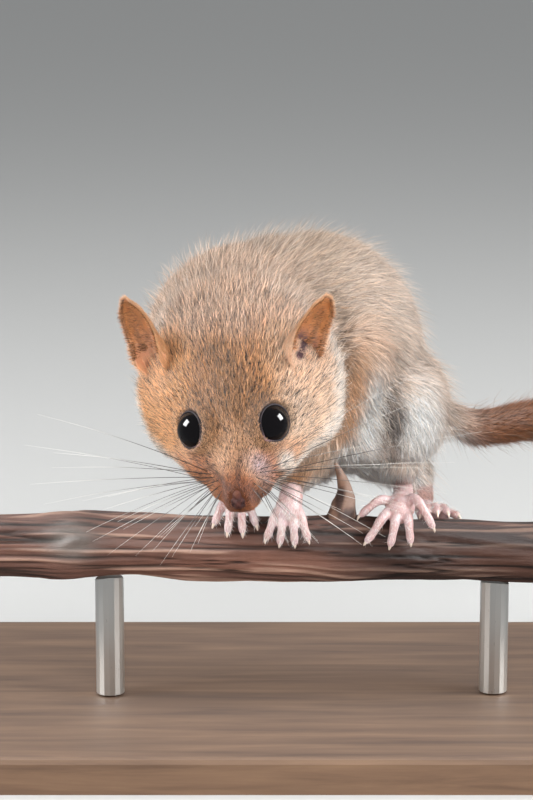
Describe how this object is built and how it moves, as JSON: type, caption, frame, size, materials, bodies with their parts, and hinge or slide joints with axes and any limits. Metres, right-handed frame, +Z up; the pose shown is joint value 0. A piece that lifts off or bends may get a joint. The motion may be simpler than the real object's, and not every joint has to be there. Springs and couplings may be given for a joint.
{
  "type": "hazel dormouse model",
  "caption": "Life-size still model of a hazel dormouse, hunched on a short length of branch above a plain stand.",
  "frame": {"origin": "middle of the underside of the stand's base", "axes": "+X towards the tail, -Y the way the animal's head faces, +Z up"},
  "size_m": [0.1324, 0.064, 0.0684],
  "materials": {
    "fur": "soft dense short fur, sandy orange above and cream below",
    "ear": "thin pinkish orange skin with a down of short hair",
    "eye": "glossy black",
    "bare_skin": "soft pink skin with fine creases",
    "bark": "reddish brown peeling bark with grey lichen",
    "stand_wood": "oiled dark hardwood",
    "rod_metal": "brushed"
  },
  "bodies": {
    "root": {"head": "fur", "neck": "fur", "torso": "fur", "foreleg_left": "fur", "foreleg_right": "fur", "hindleg_left": "fur", "hindleg_right": "fur", "tail_base": "fur", "tail_middle": "fur", "tail_tip": "fur", "ear_left": "ear", "ear_right": "ear", "eye_left": "eye", "eye_right": "eye", "forepaw_left": "bare_skin", "forepaw_right": "bare_skin", "hindfoot_left": "bare_skin", "hindfoot_right": "bare_skin", "perch_branch": "bark", "stand_base": "stand_wood", "stand_rod_1": "rod_metal", "stand_rod_2": "rod_metal"}
  },
  "joints": []
}
